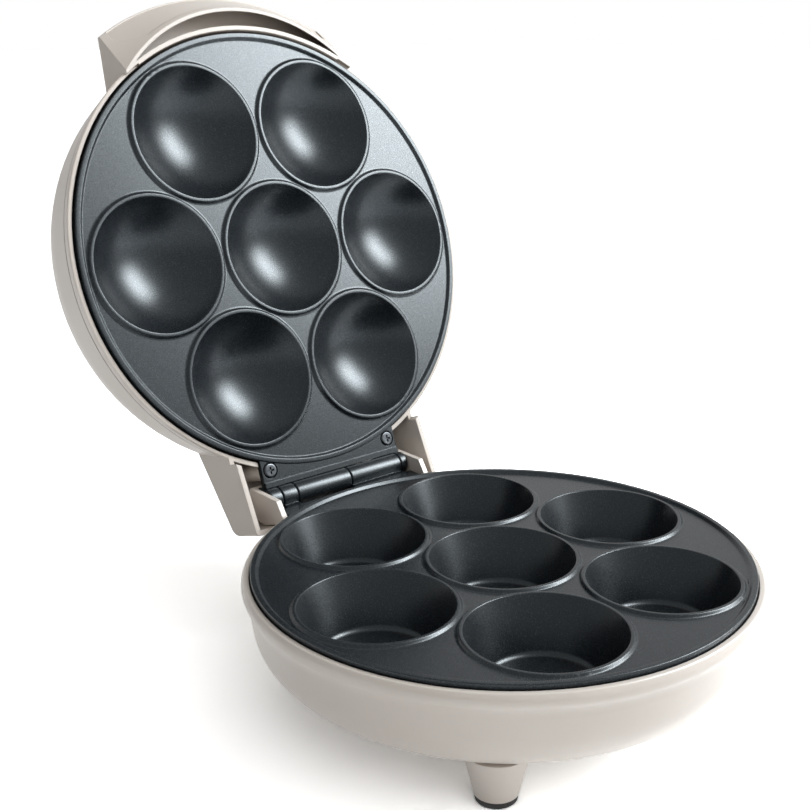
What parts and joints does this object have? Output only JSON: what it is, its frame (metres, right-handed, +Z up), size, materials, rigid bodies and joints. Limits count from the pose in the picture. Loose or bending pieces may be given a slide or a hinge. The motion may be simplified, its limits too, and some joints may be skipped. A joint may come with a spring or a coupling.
{
  "type": "electric cupcake maker",
  "caption": "Round countertop cake maker with a hinged lid shown open, tapered cups in the lower plate and domed hollows in the upper one.",
  "frame": {"origin": "on the table, under the middle of the round base", "axes": "+Z up, +Y towards the hinge at the back, -Y towards the side that the handle closes onto, +X to the right as seen from the front"},
  "size_m": [0.2176, 0.3381, 0.2842],
  "materials": {
    "housing_plastic": "glossy warm white moulded plastic",
    "nonstick_coating": "cast aluminium under a dark blue-grey non-stick coating, satin with a fine speckle",
    "screw_steel": "dark zinc-plated steel screws",
    "pin_steel": "plain steel pin",
    "element_steel": "steel tube, darkened by heat",
    "clamp_steel": "pressed zinc-plated steel",
    "lower_shield_steel": "pressed zinc-plated steel",
    "upper_shield_aluminium": "pressed aluminium sheet",
    "foot_rubber": "matte black rubber",
    "bushing_plastic": "matte black plastic",
    "thermostat_ceramic": "off-white ceramic with steel tab",
    "fuse_body": "ceramic capsule",
    "clip_steel": "spring steel",
    "terminal_ceramic": "white ceramic",
    "earth_brass": "brass tag",
    "lamp_red": "clear red plastic",
    "lamp_green": "clear green plastic",
    "holder_plastic": "matte dark grey plastic",
    "lamp_glass": "small glass lamps"
  },
  "bodies": {
    "base": {"base_housing": "housing_plastic", "rubber_feet": "foot_rubber", "cord_inlet_bushing": "bushing_plastic", "lower_cooking_plate": "nonstick_coating", "lower_heating_element": "element_steel", "lower_element_clamp": "clamp_steel", "lower_clamp_screws": "screw_steel", "lower_heat_shield": "lower_shield_steel", "lower_plate_screws": "screw_steel", "lower_thermostat": "thermostat_ceramic", "lower_thermostat_screws": "screw_steel", "thermal_fuse": "fuse_body", "fuse_clip": "clip_steel", "terminal_block": "terminal_ceramic", "earth_tag": "earth_brass", "earth_screw": "screw_steel", "hinge_pin": "pin_steel"},
    "lid": {"lid_housing": "housing_plastic", "upper_cooking_plate": "nonstick_coating", "hinge_flange_screws": "screw_steel", "upper_heating_element": "element_steel", "upper_element_clamp": "clamp_steel", "upper_clamp_screws": "screw_steel", "upper_heat_shield": "upper_shield_aluminium", "upper_shield_screws": "screw_steel", "upper_thermostat": "thermostat_ceramic", "upper_thermostat_screws": "screw_steel", "power_lamp_lens": "lamp_red", "ready_lamp_lens": "lamp_green", "lamp_holder": "holder_plastic", "lamp_holder_screws": "screw_steel", "indicator_lamps": "lamp_glass"}
  },
  "joints": [
    {"name": "lid_hinge", "type": "hinge", "parent": "base", "child": "lid", "pos_m": [0, 0.116, 0.0596], "axis": [1, 0, 0], "range_deg": [0, 108.65]}
  ]
}
